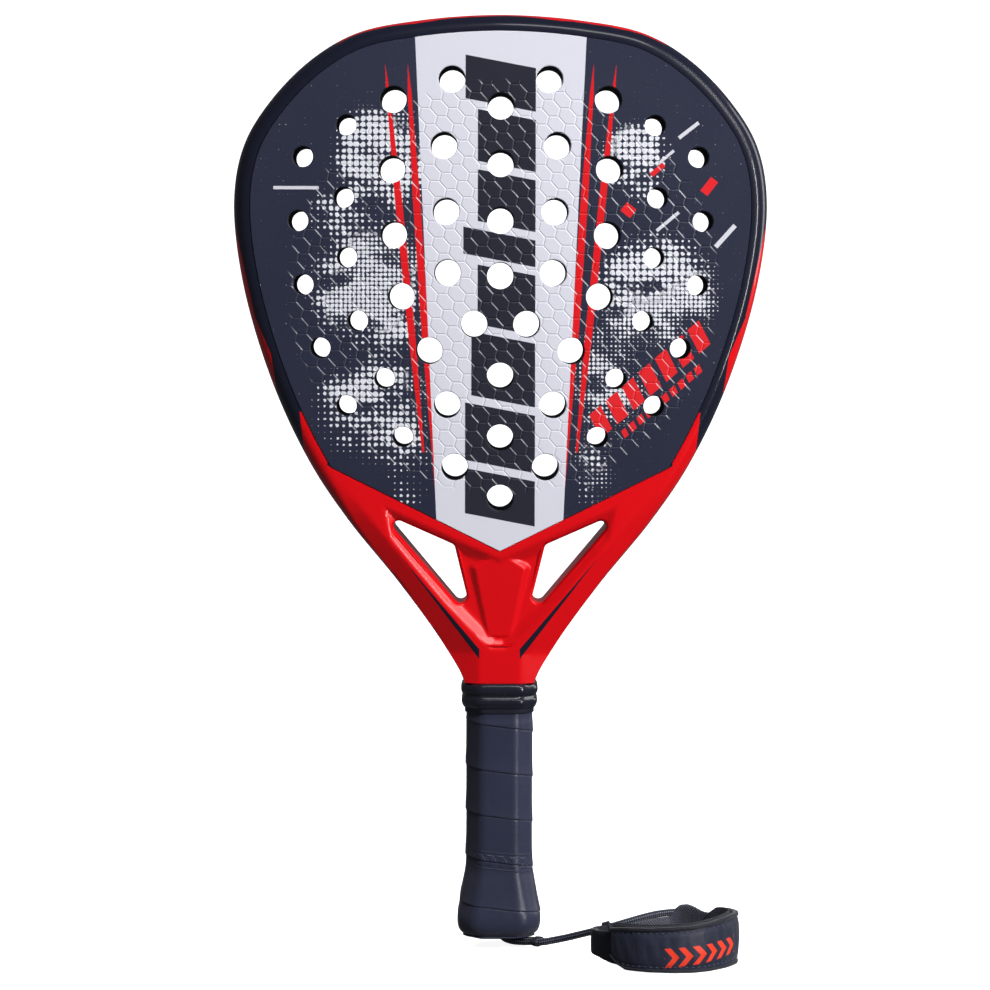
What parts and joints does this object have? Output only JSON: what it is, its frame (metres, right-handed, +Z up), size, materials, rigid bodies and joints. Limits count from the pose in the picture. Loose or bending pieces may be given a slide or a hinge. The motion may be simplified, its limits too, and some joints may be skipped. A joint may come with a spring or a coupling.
{
  "type": "padel racket",
  "caption": "Padel racket with a perforated foam and carbon head, open throat, wrapped grip, sliding collar and a padded wrist strap on a cord.",
  "frame": {"origin": "on the handle's axis, at the middle of the grip, where the hand holds the racket", "axes": "+Z up the handle's axis towards the tip of the head, +Y from the front face to the back face, +X to the right seen from the front"},
  "size_m": [0.2602, 0.0903, 0.4563],
  "materials": {
    "frame": "clear-coated carbon, bright red throat and dark navy rim",
    "bridge": "clear-coated bright red",
    "face": "satin navy carbon sheet with a moulded relief and printed pattern",
    "foam": "dark grey closed-cell foam",
    "pallet": "pale rigid foam",
    "damper": "matt soft rubber",
    "cap": "satin black",
    "grip": "smooth tacky wrap, dark slate",
    "tape": "satin tape",
    "collar": "glossy black rubber",
    "cord": "braided polyester, black-navy",
    "tab": "brushed fabric, near black",
    "satin": "satin weave, black-navy",
    "padding": "soft spacer padding",
    "lining": "open mesh, dark",
    "binding": "woven edge tape, black"
  },
  "bodies": {
    "racket": {"frame": "frame", "throat_bridge": "bridge", "front_face": "face", "back_face": "face", "foam_core": "foam", "handle_pallet": "pallet", "damper_sleeve": "damper", "butt_cap": "cap", "base_grip": "grip", "finishing_tape": "tape"},
    "collar": {"grip_collar": "collar"},
    "strap": {"cord_knot": "cord", "wrist_cord": "cord", "cord_tail": "cord", "cord_whipping": "binding", "cord_keeper": "binding", "front_tab": "tab", "rear_tab": "lining", "band_outer": "satin", "band_padding": "padding", "band_lining": "lining", "band_binding_bottom": "binding", "band_binding_top": "binding"}
  },
  "joints": [
    {"name": "collar_slide", "type": "slide", "parent": "racket", "child": "collar", "axis": [0, 0, 1], "range_m": [-0.025, 0]},
    {"name": "cord_swivel", "type": "hinge", "parent": "racket", "child": "strap", "pos_m": [0, 0, -0.07], "axis": [0, 0, 1], "range_deg": [-90, 90]}
  ]
}
